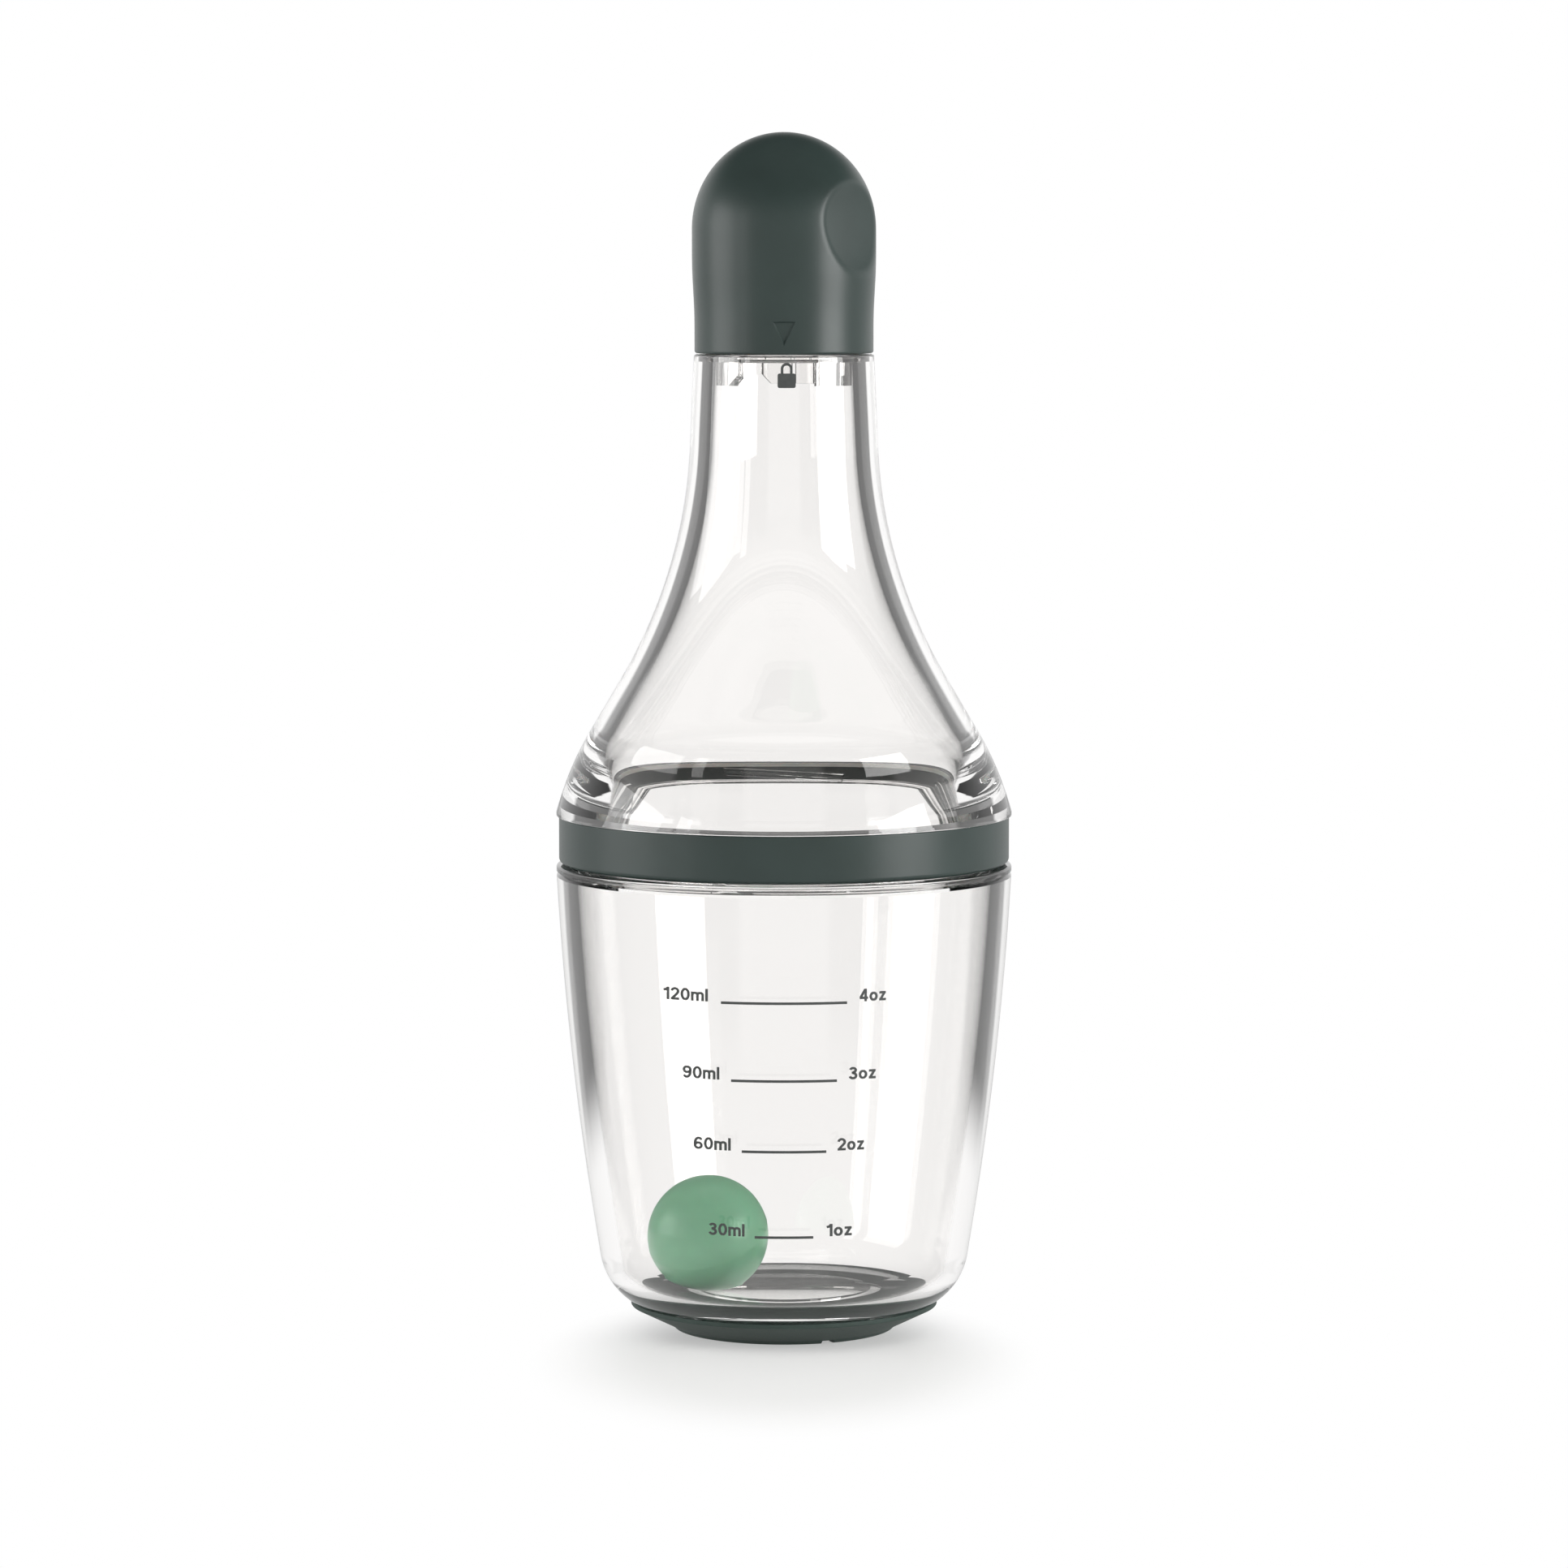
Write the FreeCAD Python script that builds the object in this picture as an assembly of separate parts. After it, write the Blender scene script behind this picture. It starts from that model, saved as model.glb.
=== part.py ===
import FreeCAD, Part
import math
import os

# Salad dressing shaker: a clear cup and a clear funnel top that screw together, a domed cap, and a loose ball.
# Millimetres, +Z up, the front is -Y, the origin is the centre of the face that the bottle stands on.

# Fits between pieces
press_fit = 0.05          # between pieces that are fixed together
running_gap = 0.3         # between pieces that turn or slide past each other
edge_round = 0.4          # broken edges
fine_round = 0.2          # edges of the smallest features
round_share = 0.98        # of a short side, the most that the roundings at its ends may take

# Heights of the stacked pieces
cup_height = 72.4         # table to the ledge under the band
band_height = 7.3
body_height = 71.1        # upper body, underside of its flange to the rim of the neck
cap_height = 33.78

# Foot ring
foot_radius = 23.8        # rim of the flare
foot_tread_radius = 17.0  # outer edge of the face on the table
foot_bore = 15.4
foot_kick = 0.6           # the tread's rounded step out to the flare
foot_lip = 0.5            # the rim stands this far above the corner of the cup's base
foot_rim_drop = 1.15      # and its underside this far below it
vent_width = 2.0
vent_height = 0.5
vent_turn = 23.0          # degrees right of the front

# Cup
cup_radius = 35.2         # at the ledge
cup_wall = 3.1
cup_belly = 1.55          # how much narrower the side's middle corner is than the ledge
cup_belly_level = 43.4
cup_belly_round = 570.0
cup_base_radius = 27.5
cup_base_level = 4.8
cup_base_round = 10.0
base_level = 2.0          # underside beside the boss
floor_thickness = 3.1     # over the recess inside the boss
floor_round = 5.5
boss_depth = 1.3          # below the underside
boss_wall = 1.8
recess_depth = 1.4        # above the underside
snap_bead = 0.35
bead_height = 1.3         # the clear bead under the ledge
bead_groove = 0.4

# Screw joint between the cup and the upper body, from the outside in
band_inset = 0.4          # the band stands back from the ledge
band_wall = 1.7
band_round = 0.8          # its lower outer edge
collar_wall = 1.6
collar_drop = 1.05        # the cup's wall starts to thicken this far below the sleeve
sleeve_wall = 1.8
gasket_thickness = 1.6
sleeve_end_gap = 0.7      # the sleeve reaches this far below the band
tongue_width = 0.6
tongue_depth = 1.2
body_starts = 4
body_lead = 24.0
body_rib_sweep = 40.0

# Thread ribs, the same section on both screw joints
rib_depth = 0.7
rib_height = 1.4
rib_tip_height = 0.9
rib_slack = 0.3           # up and down, between the ribs of a closed joint

# Upper body
body_wall = 3.4
neck_radius = 13.86       # at the rim
neck_spread = 1.48        # the flare's corner is this much wider than the rim
flare_drop = 33.3         # rim down to the flare's corner
flare_round = 77.0
shoulder_inset = 2.2      # the shoulder's corner is this much narrower than the flange
shoulder_rise = 7.8       # flange up to the shoulder's corner
shoulder_round = 49.0
flange_edge = 0.6
throat_round = 14.0       # where the funnel meets the sleeve

# Pouring insert in the neck
mouth_ledge = 1.4
insert_thickness = 1.2
spout_height = 9.9        # above the insert's plate
spout_wall = 1.4
leg_wall = 1.3
leg_length = 3.6
leg_count = 3
wide_leg_turn = -53.0     # degrees right of the front, to the middle
wide_leg_sweep = 30.0
wide_leg_chamfer = 1.6
narrow_leg_turn = 38.0
narrow_leg_sweep = 20.0

# Cap
cap_gap = 0.12            # neck rim to the cap's edge
cap_inset = 0.1           # the cap's edge stands back from the neck
cap_bulge = 0.38          # the cap is this much wider where the dome starts
cap_waist = 6.1           # straight part of the skirt
cap_swell = 13.1          # skirt's edge up to the full width
cap_swell_round = 80.0
dome_height = 14.8
skirt_wall = 1.6
scoop_depth = 2.4
scoop_wall = 1.3          # left behind a finger scoop
scoop_plan_radius = 100.0
scoop_side_radius = 19.0
scoop_drop = 12.5         # top of the cap down to the scoop's middle
scoop_turn = 57.0         # degrees right of the front
scoop_count = 2
crown_wall = 2.8
pointer_width = 3.87
pointer_height = 3.76
pointer_depth = 0.3
pointer_rise = 1.3        # cap's edge up to the triangle's tip

# Liner in the cap, and its seal
liner_gap = 1.25          # between the liner's sleeve and the skirt
liner_wall = 1.35
liner_plate = 1.2
liner_lift = 1.9          # the sleeve's end above the insert's plate
seal_thickness = 1.3
seal_overlap = 0.7        # the washer reaches in past the spout's bore
cap_starts = 3
cap_lead = 20.0
cap_rib_sweep = 50.0

# Mixing ball
ball_radius = 9.2
ball_place = (-11.55, -6.7)
ball_lift = 0.05

# Levels that follow
joint_level = cup_height + running_gap + band_height
neck_level = joint_level + body_height
cap_level = neck_level + cap_gap
cap_top = cap_level + cap_height
floor_level = base_level + recess_depth + floor_thickness
collar_top = joint_level - gasket_thickness
sleeve_end = cup_height + running_gap - sleeve_end_gap
insert_level = neck_level - insert_thickness
spout_top = neck_level + spout_height
liner_end = neck_level + liner_lift
liner_level = spout_top + seal_thickness
liner_top = liner_level + liner_plate

# Levels where the ribs start. In a closed joint the lower piece's ribs hold the upper piece's down.
body_rib_rise = body_lead * body_rib_sweep / 360.0
collar_rib_level = collar_top - edge_round - rib_height / 2 - body_rib_rise
sleeve_rib_level = collar_rib_level - rib_height - rib_slack
liner_rib_level = liner_end + edge_round + rib_height / 2
spout_rib_level = liner_rib_level + rib_height + rib_slack

# Radii that follow, from the outside in
band_radius = cup_radius - band_inset
band_bore = band_radius - band_wall
collar_radius = band_bore - running_gap
collar_bore = collar_radius - collar_wall
sleeve_radius = collar_bore - rib_depth - running_gap
sleeve_bore = sleeve_radius - sleeve_wall
cap_edge_radius = neck_radius - cap_inset
cap_radius = cap_edge_radius + cap_bulge
skirt_bore = cap_edge_radius - skirt_wall
cavity_radius = cap_radius - scoop_depth - scoop_wall
liner_radius = skirt_bore - liner_gap
liner_bore = liner_radius - liner_wall
spout_radius = liner_bore - rib_depth - running_gap
spout_bore = spout_radius - spout_wall
neck_bore = neck_radius - body_wall
mouth_radius = neck_bore + mouth_ledge

axis = FreeCAD.Vector(0, 0, 1)
origin = FreeCAD.Vector(0, 0, 0)


# Edges through corners of (radius, level), where a third number rounds that corner.
def path(corners):
    points = [FreeCAD.Vector(c[0], 0, c[1]) for c in corners]
    rounds = [c[2] if len(c) > 2 else 0.0 for c in corners]
    reach = [0.0] * len(points)
    for i in range(1, len(points) - 1):
        turn = (points[i] - points[i - 1]).getAngle(points[i + 1] - points[i])
        reach[i] = rounds[i] * math.tan(turn / 2)
    # two roundings that share a short side are limited by its length
    for i in range(len(points) - 1):
        share = round_share * points[i].distanceToPoint(points[i + 1]) / max(reach[i] + reach[i + 1], 1e-9)
        reach[i] *= min(1.0, share)
        reach[i + 1] *= min(1.0, share)
    edges = []
    last = points[0]
    for i in range(1, len(points) - 1):
        back = (points[i - 1] - points[i]).normalize()
        ahead = (points[i + 1] - points[i]).normalize()
        start = points[i] + back * reach[i]
        end = points[i] + ahead * reach[i]
        edges.append(Part.makeLine(last, start))
        if reach[i] > 0:
            half = back.getAngle(ahead) / 2
            bisector = (back + ahead).normalize()
            middle = points[i] + bisector * (reach[i] * (1 - math.sin(half)) / math.cos(half))
            edges.append(Part.Arc(start, middle, end).toShape())
        last = end
    edges.append(Part.makeLine(last, points[-1]))
    return edges


# A solid of revolution from paths laid end to end, with straight lines between them.
def turned(*paths):
    edges = []
    for piece in paths:
        if edges:
            edges += joining_line(edges[-1], piece[0])
        edges += piece
    edges += joining_line(edges[-1], edges[0])
    return Part.Face(Part.Wire(edges)).revolve(origin, axis, 360)


def joining_line(before, after):
    start = before.valueAt(before.LastParameter)
    end = after.valueAt(after.FirstParameter)
    if start.distanceToPoint(end) < 1e-6:
        return []
    return [Part.makeLine(start, end)]


# The point of the line through two corners that lies at a level or at a radius.
def at_level(a, b, level):
    return (a[0] + (b[0] - a[0]) * (level - a[1]) / (b[1] - a[1]), level)


def at_radius(a, b, radius):
    return (radius, a[1] + (b[1] - a[1]) * (radius - a[0]) / (b[0] - a[0]))


# The same corners moved inward by a wall, for an outline that runs upward.
def inset(corners, wall):
    sides = []
    for a, b in zip(corners, corners[1:]):
        length = math.hypot(b[0] - a[0], b[1] - a[1])
        step = (-wall * (b[1] - a[1]) / length, wall * (b[0] - a[0]) / length)
        sides.append(((a[0] + step[0], a[1] + step[1]), (b[0] + step[0], b[1] + step[1])))
    moved = [sides[0][0]]
    for (a, b), (c, d), corner in zip(sides, sides[1:], corners[1:]):
        cross = (b[0] - a[0]) * (d[1] - c[1]) - (b[1] - a[1]) * (d[0] - c[0])
        along = ((c[0] - a[0]) * (d[1] - c[1]) - (c[1] - a[1]) * (d[0] - c[0])) / cross
        rounding = corner[2] - math.copysign(wall, cross)
        moved.append((a[0] + along * (b[0] - a[0]), a[1] + along * (b[1] - a[1]), rounding))
    moved.append(sides[-1][1])
    return moved


# Angle from +X of a direction given in degrees right of the front.
def facing(turn):
    return turn - 90.0


# A helical rib standing on a turned face, as one start of an interrupted thread.
def rib(root, tip, level, lead, turn, sweep):
    rise = lead * sweep / 360.0
    helix = Part.makeHelix(lead, rise, root)
    buried = root - math.copysign(running_gap, tip - root)
    section = Part.makePolygon([
        FreeCAD.Vector(buried, 0, -rib_height / 2),
        FreeCAD.Vector(root, 0, -rib_height / 2),
        FreeCAD.Vector(tip, 0, -rib_tip_height / 2),
        FreeCAD.Vector(tip, 0, rib_tip_height / 2),
        FreeCAD.Vector(root, 0, rib_height / 2),
        FreeCAD.Vector(buried, 0, rib_height / 2),
        FreeCAD.Vector(buried, 0, -rib_height / 2),
    ])
    solid = Part.Wire(helix).makePipeShell([section], True, True)
    solid.translate(FreeCAD.Vector(0, 0, level))
    solid.rotate(origin, axis, facing(turn))
    return solid


# All the starts of a thread. A closed joint has one piece's ribs just under the other's.
def ribs(root, tip, level, lead, starts, sweep):
    return [rib(root, tip, level, lead, 360.0 * i / starts - sweep / 2, sweep) for i in range(starts)]


# A block bent round the axis, from one radius and level to another.
def arc_block(inner, outer, bottom, top, turn, sweep):
    corners = [(inner, bottom), (outer, bottom), (outer, top), (inner, top), (inner, bottom)]
    face = Part.Face(Part.makePolygon([FreeCAD.Vector(r, 0, z) for r, z in corners]))
    block = face.revolve(origin, axis, sweep)
    block.rotate(origin, axis, facing(turn - sweep / 2))
    return block


def cup_side():
    return [
        (cup_base_radius, cup_base_level),
        (cup_radius - cup_belly, cup_belly_level, cup_belly_round),
        (cup_radius, cup_height - bead_height),
    ]


# The outside of the cup as a filled solid. The foot ring is shaped by it.
def cup_block():
    base, belly, ledge = cup_side()
    bead_level = base_level - boss_depth / 2
    boss = path([
        (0, base_level + recess_depth),
        (foot_bore - boss_wall, base_level + recess_depth),
        (foot_bore - boss_wall, base_level - boss_depth),
        (foot_bore, base_level - boss_depth, fine_round),
        (foot_bore, bead_level - snap_bead),
        (foot_bore + snap_bead, bead_level),
        (foot_bore, bead_level + snap_bead),
        (foot_bore, base_level),
    ])
    side = path([
        (foot_bore, base_level),
        base + (cup_base_round,),
        belly,
        at_level(belly, ledge, cup_height - bead_height - bead_groove),
        (cup_radius - bead_groove, cup_height - bead_height),
        (cup_radius, cup_height - bead_height + bead_groove),
        (cup_radius, cup_height, edge_round),
        (collar_radius, cup_height),
        (collar_radius, collar_top, edge_round),
        (0, collar_top),
    ])
    return turned(boss, side)


def cup():
    base, belly, ledge = inset(cup_side(), cup_wall)
    throat = at_level(belly, ledge, sleeve_end - collar_drop)
    inside = turned(path([
        (0, floor_level),
        at_level(base, belly, floor_level) + (floor_round,),
        belly,
        throat + (edge_round,),
        (collar_bore, sleeve_end + edge_round, edge_round),
        (collar_bore, collar_top + running_gap),
        (0, collar_top + running_gap),
    ]))
    shell = cup_block().cut(inside)
    tip = collar_bore - rib_depth
    return shell.fuse(ribs(collar_bore, tip, collar_rib_level, body_lead, body_starts, body_rib_sweep))


def foot_ring():
    blank = turned(path([
        (foot_bore, 0),
        (foot_tread_radius, 0, fine_round),
        (foot_tread_radius + foot_kick, foot_kick, edge_round),
        (foot_radius, cup_base_level - foot_rim_drop, fine_round),
        (foot_radius, cup_base_level + foot_lip),
        (foot_bore, cup_base_level + foot_lip),
    ]))
    vent = Part.makeBox(foot_tread_radius + foot_kick, vent_width, vent_height)
    vent.translate(FreeCAD.Vector(0, -vent_width / 2, 0))
    vent.rotate(origin, axis, facing(vent_turn))
    return blank.cut(cup_block()).cut(vent)


def body_side():
    return [
        (cup_radius, joint_level + flange_edge),
        (cup_radius - shoulder_inset, joint_level + shoulder_rise, shoulder_round),
        (neck_radius + neck_spread, neck_level - flare_drop, flare_round),
        (neck_radius, neck_level),
    ]


def upper_body():
    flange, shoulder, flare, rim = inset(body_side(), body_wall)
    outside = path([(cup_radius, joint_level)] + body_side()[:3] + [
        (neck_radius, neck_level, edge_round),
        (mouth_radius, neck_level),
    ])
    inside = path([
        (mouth_radius, insert_level),
        at_level(flare, rim, insert_level),
        flare,
        at_radius(shoulder, flare, sleeve_bore) + (throat_round,),
        (sleeve_bore, sleeve_end, edge_round),
        (sleeve_radius, sleeve_end, edge_round),
        (sleeve_radius, joint_level),
    ])
    tongue_middle = (band_radius + band_bore) / 2
    tongue = path([
        (tongue_middle - tongue_width / 2, joint_level),
        (tongue_middle - tongue_width / 2, joint_level - tongue_depth),
        (tongue_middle + tongue_width / 2, joint_level - tongue_depth),
        (tongue_middle + tongue_width / 2, joint_level),
    ])
    shell = turned(outside, inside, tongue)
    tip = sleeve_radius + rib_depth
    return shell.fuse(ribs(sleeve_radius, tip, sleeve_rib_level, body_lead, body_starts, body_rib_sweep))


def joint_band():
    groove_middle = (band_radius + band_bore) / 2
    groove_width = tongue_width + 2 * press_fit
    groove_floor = joint_level - tongue_depth - press_fit
    lower = joint_level - band_height
    return turned(path([
        (band_bore, joint_level),
        (band_bore, lower, edge_round),
        (band_radius, lower, band_round),
        (band_radius, joint_level),
        (groove_middle + groove_width / 2, joint_level),
        (groove_middle + groove_width / 2, groove_floor),
        (groove_middle - groove_width / 2, groove_floor),
        (groove_middle - groove_width / 2, joint_level),
    ]))


def rim_gasket():
    return turned(path([
        (sleeve_radius + running_gap, collar_top),
        (collar_radius, collar_top),
        (collar_radius, joint_level),
        (sleeve_radius + running_gap, joint_level),
    ]))


# A leg is a block of the neck's curve. The wide ones have one lower corner cut off.
def wide_leg(turn):
    outer = neck_bore - press_fit
    bottom = insert_level - leg_length
    leg = arc_block(outer - leg_wall, outer, bottom, insert_level, 0, wide_leg_sweep)
    right_end = math.radians(facing(wide_leg_sweep / 2))
    middle = outer - leg_wall / 2
    corner = FreeCAD.Vector(middle * math.cos(right_end), middle * math.sin(right_end), bottom)
    edges = [e for e in leg.Edges if e.CenterOfMass.distanceToPoint(corner) < press_fit]
    leg = leg.makeChamfer(wide_leg_chamfer, edges)
    leg.rotate(origin, axis, turn)
    return leg


def narrow_leg(turn):
    outer = neck_bore - press_fit
    return arc_block(outer - leg_wall, outer, insert_level - leg_length, insert_level, turn, narrow_leg_sweep)


def pour_insert():
    plate = turned(path([
        (spout_bore, insert_level, edge_round),
        (mouth_radius - press_fit, insert_level),
        (mouth_radius - press_fit, neck_level, fine_round),
        (spout_radius, neck_level, edge_round),
        (spout_radius, spout_top, spout_wall / 2),
        (spout_bore, spout_top),
        (spout_bore, insert_level),
    ]))
    legs = []
    for i in range(leg_count):
        step = 360.0 * i / leg_count
        legs += [wide_leg(wide_leg_turn + step), narrow_leg(narrow_leg_turn + step)]
    tip = spout_radius + rib_depth
    thread = ribs(spout_radius, tip, spout_rib_level, cap_lead, cap_starts, cap_rib_sweep)
    return plate.fuse(legs + thread)


# A quarter ellipse from a radius at a level up to the axis.
def dome(radius, level, top):
    centre = FreeCAD.Vector(0, 0, level)
    side = FreeCAD.Vector(radius, 0, level)
    crown = FreeCAD.Vector(0, 0, top)
    if top - level > radius:
        return [Part.Ellipse(crown, centre - (side - centre), centre).toShape(1.5 * math.pi, 2 * math.pi)]
    return [Part.Ellipse(side, crown, centre).toShape(0, 0.5 * math.pi)]


# The finger scoops are where a thick ring laid beside the cap cuts into it.
def scoop(turn):
    ring = Part.makeTorus(scoop_plan_radius - scoop_side_radius, scoop_side_radius)
    ring.translate(FreeCAD.Vector(cap_radius - scoop_depth + scoop_plan_radius, 0, cap_top - scoop_drop))
    ring.rotate(origin, axis, facing(turn))
    return ring


# The triangle engraved over the cap's edge at the front, pointing down.
def pointer():
    low = cap_level + pointer_rise
    high = low + pointer_height
    triangle = Part.Face(Part.makePolygon([
        FreeCAD.Vector(0, 0, low),
        FreeCAD.Vector(pointer_width / 2, 0, high),
        FreeCAD.Vector(-pointer_width / 2, 0, high),
        FreeCAD.Vector(0, 0, low),
    ]))
    prism = triangle.extrude(FreeCAD.Vector(0, -cap_radius - running_gap, 0))
    core = Part.makeCylinder(cap_edge_radius - pointer_depth, cap_height, FreeCAD.Vector(0, 0, cap_level))
    return prism.cut(core)


def cap_shell():
    dome_level = cap_top - dome_height
    skirt = path([
        (0, cap_level),
        (cap_edge_radius, cap_level, edge_round),
        (cap_edge_radius, cap_level + cap_waist, cap_swell_round),
        (cap_radius, cap_level + cap_swell, cap_swell_round),
        (cap_radius, dome_level),
    ])
    inside = path([
        (0, cap_level),
        (skirt_bore, cap_level),
        (skirt_bore, liner_top),
        (cavity_radius, liner_top),
        (cavity_radius, dome_level),
    ])
    block = turned(skirt, dome(cap_radius, dome_level, cap_top))
    shell = block.cut(turned(inside, dome(cavity_radius, dome_level, cap_top - crown_wall)))
    scoops = [scoop(scoop_turn + 360.0 * i / scoop_count) for i in range(scoop_count)]
    return shell.cut(scoops + [pointer()])


def cap_liner():
    sleeve = turned(path([
        (liner_bore, liner_end),
        (liner_radius, liner_end, edge_round),
        (liner_radius, liner_level),
        (skirt_bore - press_fit, liner_level),
        (skirt_bore - press_fit, liner_top),
        (0, liner_top),
        (0, liner_level),
        (liner_bore, liner_level),
    ]))
    tip = liner_bore - rib_depth
    return sleeve.fuse(ribs(liner_bore, tip, liner_rib_level, cap_lead, cap_starts, cap_rib_sweep))


def cap_seal():
    return turned(path([
        (spout_bore - seal_overlap, spout_top),
        (liner_bore - running_gap, spout_top),
        (liner_bore - running_gap, liner_level),
        (spout_bore - seal_overlap, liner_level),
    ]))


def mixing_ball():
    height = floor_level + ball_radius + ball_lift
    return Part.makeSphere(ball_radius, FreeCAD.Vector(ball_place[0], ball_place[1], height))


def main():
    os.makedirs("parts", exist_ok=True)
    makers = [cup, foot_ring, upper_body, joint_band, rim_gasket]
    makers += [pour_insert, cap_shell, cap_liner, cap_seal, mixing_ball]
    for maker in makers:
        shape = maker()
        solids = len(shape.Solids)
        print(maker.__name__, "valid" if shape.isValid() else "not valid", solids, round(shape.Volume))
        shape.exportStep("parts/%s.step" % maker.__name__)


main()
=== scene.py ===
import math
import bpy
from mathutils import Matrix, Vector


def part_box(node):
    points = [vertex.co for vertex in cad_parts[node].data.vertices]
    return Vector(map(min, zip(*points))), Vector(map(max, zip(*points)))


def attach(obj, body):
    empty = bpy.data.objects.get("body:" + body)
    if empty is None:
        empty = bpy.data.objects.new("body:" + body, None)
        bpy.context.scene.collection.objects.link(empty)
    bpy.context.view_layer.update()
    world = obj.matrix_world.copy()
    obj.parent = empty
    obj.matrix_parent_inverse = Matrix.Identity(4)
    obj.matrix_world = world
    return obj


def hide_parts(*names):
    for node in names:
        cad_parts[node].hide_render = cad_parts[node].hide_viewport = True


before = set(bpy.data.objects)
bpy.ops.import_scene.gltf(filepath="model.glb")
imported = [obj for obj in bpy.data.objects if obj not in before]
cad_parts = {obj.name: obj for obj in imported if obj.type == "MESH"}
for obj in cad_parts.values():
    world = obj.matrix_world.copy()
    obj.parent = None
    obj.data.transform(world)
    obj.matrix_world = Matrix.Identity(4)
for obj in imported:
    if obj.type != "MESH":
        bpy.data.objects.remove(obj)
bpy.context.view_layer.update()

mm = 0.001
scene = bpy.context.scene
scene.view_settings.view_transform = "Standard"
scene.cycles.max_bounces = 24  # light turns many times inside the thick clear walls
scene.cycles.glossy_bounces = 16
scene.cycles.transmission_bounces = 24


# sRGB hex to linear, with alpha
def linearColour(hexValue):
    channels = [int(hexValue[i:i + 2], 16) / 255 for i in (1, 3, 5)]
    return [c / 12.92 if c <= 0.04045 else ((c + 0.055) / 1.055) ** 2.4 for c in channels] + [1.0]


# one node with its settings, its input values and its links
def addNode(tree, kind, settings={}, values={}, links={}):
    node = tree.nodes.new(kind)
    for key, value in settings.items():
        setattr(node, key, value)
    for key, value in values.items():
        node.inputs[key].default_value = value
    for key, source in links.items():
        tree.links.new(source, node.inputs[key])
    return node


def newMaterial(name):
    material = bpy.data.materials.new(name)
    material.use_nodes = True
    material.node_tree.nodes.clear()
    return material, material.node_tree


# corners of (radius, level, rounding) in mm become points, with an arc at each rounded corner
def roundedOutline(corners, arcStep=6.0, longest=1.5, sideShare=0.98):
    corners = [tuple(c) + (0.0,) * (3 - len(c)) for c in corners]
    points = [Vector(c[:2]) for c in corners]
    reach = [0.0] * len(points)
    for i in range(1, len(points) - 1):
        turn = (points[i] - points[i - 1]).angle(points[i + 1] - points[i])
        reach[i] = corners[i][2] * math.tan(turn / 2)
    for i in range(len(points) - 1):  # two roundings never take more than their side
        share = sideShare * (points[i + 1] - points[i]).length / max(reach[i] + reach[i + 1], 1e-9)
        reach[i] *= min(1.0, share)
        reach[i + 1] *= min(1.0, share)
    outline = [points[0]]
    for i in range(1, len(points) - 1):
        if reach[i] < 1e-6:
            outline.append(points[i])
            continue
        back = (points[i - 1] - points[i]).normalized()
        ahead = (points[i + 1] - points[i]).normalized()
        half = back.angle(ahead) / 2
        radius = reach[i] * math.tan(half)
        centre = points[i] + (back + ahead).normalized() * (radius / math.sin(half))
        start = points[i] + back * reach[i] - centre
        turn = start.angle_signed(points[i] + ahead * reach[i] - centre)
        count = max(2, math.ceil(abs(math.degrees(turn)) / arcStep), math.ceil(abs(turn) * radius / longest))
        for k in range(count + 1):
            a = -turn * k / count
            spoke = (start.x * math.cos(a) - start.y * math.sin(a), start.x * math.sin(a) + start.y * math.cos(a))
            outline.append(centre + Vector(spoke))
    outline.append(points[-1])
    return outline


# the same corners moved inward by a wall, for an outline that runs upward
def insetCorners(corners, wall):
    sides = []
    for a, b in zip(corners, corners[1:]):
        length = math.hypot(b[0] - a[0], b[1] - a[1])
        step = Vector((-wall * (b[1] - a[1]) / length, wall * (b[0] - a[0]) / length))
        sides.append((Vector(a[:2]) + step, Vector(b[:2]) + step))
    moved = [tuple(sides[0][0])]
    for (a, b), (c, d), corner in zip(sides, sides[1:], corners[1:]):
        cross = (b - a).cross(d - c)
        meet = a + (b - a) * ((c - a).cross(d - c) / cross)
        moved.append((meet.x, meet.y, corner[2] - math.copysign(wall, cross)))
    moved.append(tuple(sides[-1][1]))
    return moved


def atLevel(a, b, level):
    return (a[0] + (b[0] - a[0]) * (level - a[1]) / (b[1] - a[1]), level)


def atRadius(a, b, radius):
    return (radius, a[1] + (b[1] - a[1]) * (radius - a[0]) / (b[0] - a[0]))


# a line of points drawn in the XZ plane by extruding one vertex from place to place
def drawOutline(name, points):
    bpy.ops.object.select_all(action="DESELECT")
    bpy.ops.mesh.primitive_plane_add(size=mm, location=(points[0][0] * mm, 0, points[0][1] * mm))
    piece = bpy.context.object
    piece.name = name
    bpy.ops.object.transform_apply(location=True, rotation=True, scale=True)
    bpy.ops.object.mode_set(mode="EDIT")
    bpy.ops.mesh.select_all(action="SELECT")
    bpy.ops.mesh.merge(type="CENTER")
    for a, b in zip(points, points[1:]):
        step = ((b[0] - a[0]) * mm, 0, (b[1] - a[1]) * mm)
        bpy.ops.mesh.extrude_region_move(TRANSFORM_OT_translate={"value": step})
    bpy.ops.mesh.select_all(action="SELECT")
    bpy.ops.mesh.remove_doubles(threshold=1e-7)
    bpy.ops.object.mode_set(mode="OBJECT")
    return piece


# the outline turned round the bottle's axis
def spinOutline(name, points, steps):
    piece = drawOutline(name, points)
    bpy.ops.object.mode_set(mode="EDIT")
    bpy.ops.mesh.select_all(action="SELECT")
    bpy.ops.mesh.spin(steps=steps, angle=2 * math.pi, center=(0, 0, 0), axis=(0, 0, 1))
    closeMesh()
    return piece


# merges doubles and turns the faces outwards, then leaves edit mode
def closeMesh():
    bpy.ops.mesh.select_all(action="SELECT")
    bpy.ops.mesh.remove_doubles(threshold=1e-6)
    bpy.ops.mesh.normals_make_consistent(inside=False)
    bpy.ops.object.mode_set(mode="OBJECT")


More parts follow.
